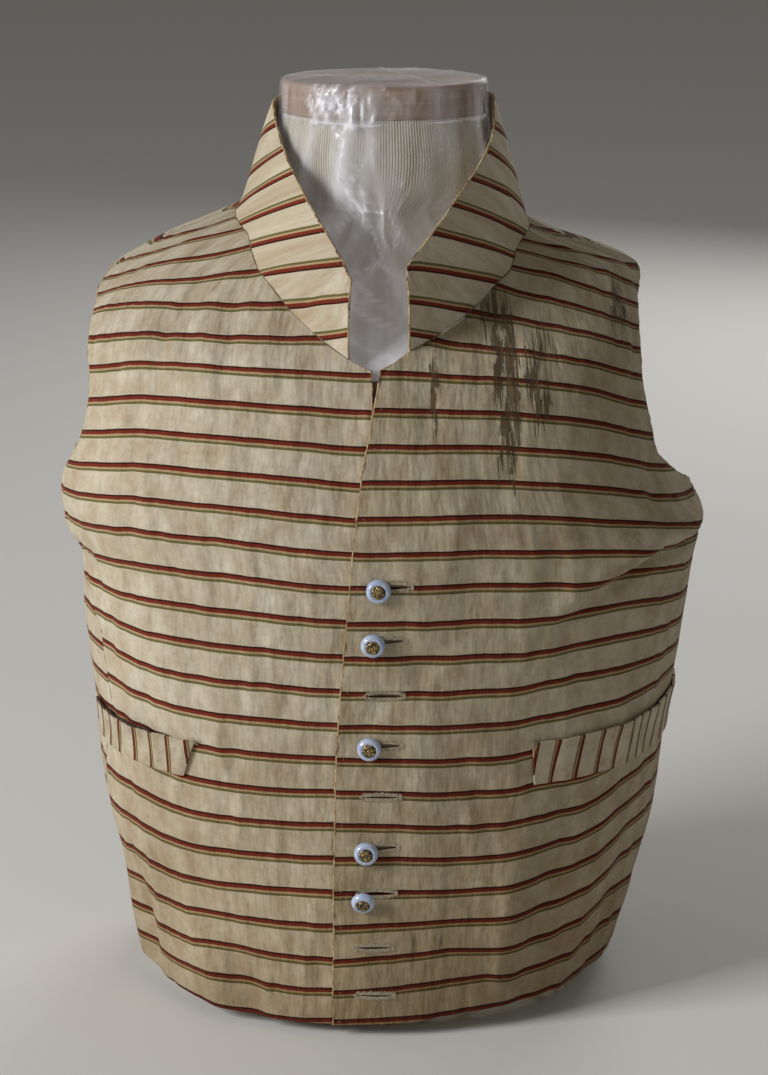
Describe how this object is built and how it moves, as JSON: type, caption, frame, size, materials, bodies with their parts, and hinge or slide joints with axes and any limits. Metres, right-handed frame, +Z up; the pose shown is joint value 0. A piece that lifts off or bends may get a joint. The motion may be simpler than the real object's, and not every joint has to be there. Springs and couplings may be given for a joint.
{
  "type": "waistcoat on a dress form",
  "caption": "Single-breasted striped cotton waistcoat with a standing collar, pocket welts and domed glass buttons, fastened on a limbless dress form with a wooden neck cap",
  "frame": {"origin": "middle of the object's outline on the floor, under the dress form's flat base", "axes": "+Z up, the fronts face -Y, the wearer's left side is +X"},
  "size_m": [0.3961, 0.2623, 0.559],
  "materials": {
    "striped_cotton": "aged cream cotton with narrow woven stripes of dark red, tan and olive, matt, foxed and stained",
    "form_knit": "cream ribbed cotton stretched over the form, under clear crinkled film at the neck",
    "form_wood": "pinkish brown planed wood, satin",
    "button_glass": "milky pale blue pressed glass over a dark gilt rosette and metal shank, glossy"
  },
  "bodies": {
    "root": {"form_torso": "form_knit", "form_cap": "form_wood", "front_right": "striped_cotton", "front_left": "striped_cotton", "back": "striped_cotton", "collar": "striped_cotton", "welt_right": "striped_cotton", "welt_left": "striped_cotton", "button_1": "button_glass", "button_2": "button_glass", "button_3": "button_glass", "button_4": "button_glass", "button_5": "button_glass"}
  },
  "joints": []
}
